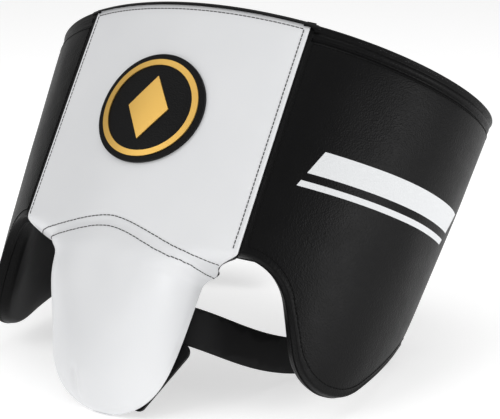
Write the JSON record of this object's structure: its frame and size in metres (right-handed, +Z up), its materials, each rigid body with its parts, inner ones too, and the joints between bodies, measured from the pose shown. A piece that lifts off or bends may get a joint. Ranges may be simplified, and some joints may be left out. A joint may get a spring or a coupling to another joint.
{
  "type": "groin protector",
  "caption": "Padded wrap-round groin protector for boxing: white front panel and cup pouch, black hip wings on flexing seams, open elastic waist belt, leg straps",
  "frame": {"origin": "middle of the footprint, on the surface that the protector stands on", "axes": "+Z up as it stands, -Y to the wearer's front, +X to the wearer's left"},
  "size_m": [0.3852, 0.3682, 0.2824],
  "materials": {
    "white_leather": "smooth satin synthetic leather",
    "black_leather": "fine pebble grain, semi-matt",
    "foam": "layered foam padding, hidden inside",
    "cup_plastic": "moulded hard cup, hidden inside",
    "lining_fabric": "coated nylon lining",
    "badge_trim": "satin gold-coloured raised trim",
    "elastic": "woven elastic webbing",
    "hook_plastic": "hook tape",
    "loop_fabric": "loop tape"
  },
  "bodies": {
    "front": {"front_rim_binding": "black_leather", "leg_and_pouch_binding": "black_leather", "front_panel_cover": "white_leather", "pouch_cover": "white_leather", "front_foam": "foam", "pouch_foam": "foam", "cup_shell": "cup_plastic", "cup_pad": "foam", "front_lining": "lining_fabric", "pouch_lining": "lining_fabric", "crotch_tab": "black_leather", "badge_base": "white_leather", "badge_ring": "badge_trim", "badge_diamond": "badge_trim", "leg_strap_left": "elastic", "leg_strap_right": "elastic", "flex_gusset_left": "lining_fabric", "flex_gusset_right": "lining_fabric"},
    "wing_left": {"wing_rim_binding_left": "black_leather", "wing_edge_binding_left": "black_leather", "wing_cover_left": "black_leather", "wing_foam_left": "foam", "wing_lining_left": "lining_fabric", "strap_anchor_left": "black_leather", "belt_stub_left": "elastic"},
    "wing_right": {"wing_rim_binding_right": "black_leather", "wing_edge_binding_right": "black_leather", "wing_cover_right": "black_leather", "wing_foam_right": "foam", "wing_lining_right": "lining_fabric", "strap_anchor_right": "black_leather", "belt_stub_right": "elastic"},
    "belt_left": {"waist_belt_left": "elastic", "hook_patch": "hook_plastic"},
    "belt_right": {"waist_belt_right": "elastic", "loop_patch": "loop_fabric"}
  },
  "joints": [
    {"name": "wing_left_flex", "type": "hinge", "parent": "front", "child": "wing_left", "pos_m": [0.094, -0.06795, 0.19909], "axis": [-0.011, -0.5869, -0.8096], "range_deg": [-5, 20], "stiffness_Nm_per_rad": 4, "deforming": ["flex_gusset_left", "leg_strap_left"]},
    {"name": "wing_right_flex", "type": "hinge", "parent": "front", "child": "wing_right", "pos_m": [-0.094, -0.06795, 0.19909], "axis": [-0.011, 0.5869, 0.8096], "range_deg": [-5, 20], "stiffness_Nm_per_rad": 4, "deforming": ["flex_gusset_right", "leg_strap_right"]},
    {"name": "belt_left_fold", "type": "hinge", "parent": "wing_left", "child": "belt_left", "pos_m": [0.12713, 0.11597, 0.07797], "axis": [-0.0982, -0.6061, -0.7893], "range_deg": [-25, 60], "stiffness_Nm_per_rad": 0.15},
    {"name": "belt_right_fold", "type": "hinge", "parent": "wing_right", "child": "belt_right", "pos_m": [-0.12713, 0.11597, 0.07797], "axis": [-0.0982, 0.6061, 0.7893], "range_deg": [-25, 60], "stiffness_Nm_per_rad": 0.15}
  ]
}
